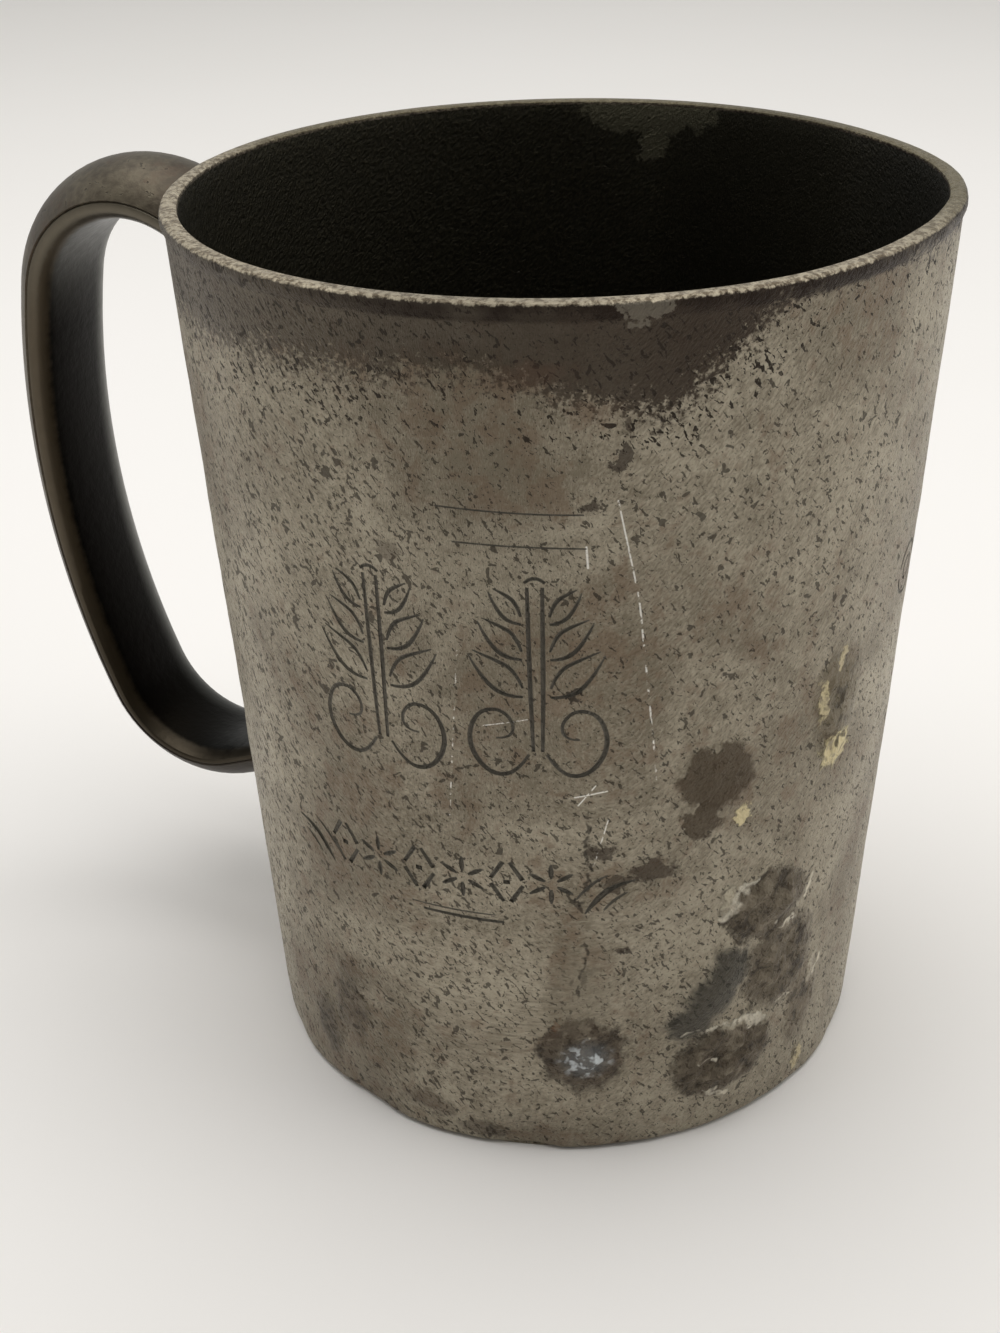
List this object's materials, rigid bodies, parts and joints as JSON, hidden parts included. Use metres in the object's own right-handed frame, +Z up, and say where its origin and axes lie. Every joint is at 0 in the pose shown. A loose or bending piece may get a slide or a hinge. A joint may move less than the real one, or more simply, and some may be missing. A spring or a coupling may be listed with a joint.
{
  "type": "pewter measure",
  "caption": "Lidless pewter measure: tapered drum with a narrow lip, recessed soldered base disc and a hollow D-section loop handle soldered on at both ends.",
  "frame": {"origin": "on the drum's axis at the plane it stands on, the centre of the foot ring", "axes": "+Z up the drum's axis towards the mouth, -X towards the handle, +Y across the handle"},
  "size_m": [0.1285, 0.092, 0.113],
  "materials": {
    "drum_pewter": "satin",
    "floor_pewter": "satin",
    "handle_pewter": "satin",
    "solder": "satin"
  },
  "bodies": {
    "root": {"drum": "drum_pewter", "base_disc": "floor_pewter", "base_solder_seam": "solder", "handle_outer_half": "handle_pewter", "handle_inner_half": "handle_pewter", "handle_top_solder": "solder", "handle_foot_solder": "solder"}
  },
  "joints": []
}
